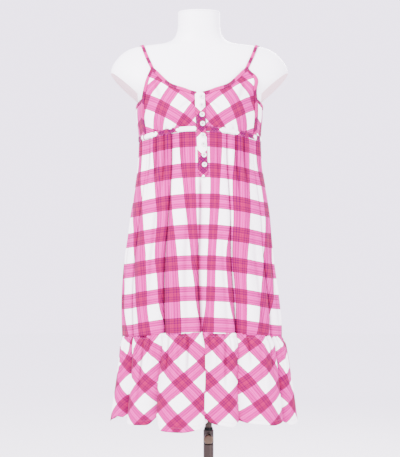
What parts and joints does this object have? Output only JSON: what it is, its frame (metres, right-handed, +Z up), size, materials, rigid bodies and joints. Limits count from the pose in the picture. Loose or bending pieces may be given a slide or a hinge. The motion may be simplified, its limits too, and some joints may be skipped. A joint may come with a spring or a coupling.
{
  "type": "a-line dress on a dress form",
  "caption": "Sleeveless a-line sundress with thin straps, shaped cups, buttoned placket, gathered skirt and ruffled hem, on a limbless dress form with a height-adjustable stand.",
  "frame": {"origin": "centre of the round base's underside, on the axis of the stand's pole", "axes": "+Z up along the pole, -Y to the front of the dress, +X to the viewer's right when facing the front"},
  "size_m": [0.449, 0.3359, 1.5123],
  "materials": {
    "plaid_cotton": "plain woven check",
    "plaid_trim": "plain woven check, cut as narrow trim",
    "button_shell": "pearly",
    "form_plastic": "smooth satin",
    "metal": "satin",
    "black_rubber": "matt"
  },
  "bodies": {
    "stand": {"base_plate": "metal", "tube": "metal", "clamp_collar": "metal", "bush": "black_rubber"},
    "dressed_form": {"armhole_binding_left": "plaid_trim", "armhole_binding_right": "plaid_trim", "back_binding": "plaid_trim", "band_back": "plaid_trim", "band_front_left": "plaid_trim", "band_front_right": "plaid_trim", "bodice_back": "plaid_cotton", "button_1": "button_shell", "button_2": "button_shell", "button_3": "button_shell", "button_4": "button_shell", "button_5": "button_shell", "button_6": "button_shell", "button_7": "button_shell", "button_8": "button_shell", "cup_left": "plaid_cotton", "cup_right": "plaid_cotton", "flounce_back": "plaid_cotton", "flounce_front": "plaid_cotton", "form_torso": "form_plastic", "neck_binding_left": "plaid_trim", "neck_binding_right": "plaid_trim", "neck_cap": "form_plastic", "placket": "plaid_trim", "rod": "metal", "rod_flange": "metal", "skirt_back": "plaid_cotton", "skirt_front": "plaid_cotton", "strap_left": "plaid_trim", "strap_right": "plaid_trim"},
    "knob": {"clamp_knob": "metal"}
  },
  "joints": [
    {"name": "height_slide", "type": "slide", "parent": "stand", "child": "dressed_form", "axis": [0, 0, 1], "range_m": [-0.1, 0.2]},
    {"name": "knob_turn", "type": "hinge", "parent": "stand", "child": "knob", "pos_m": [0, -0.009, 0.4925], "axis": [0, -1, 0], "range_deg": [0, 360]}
  ]
}
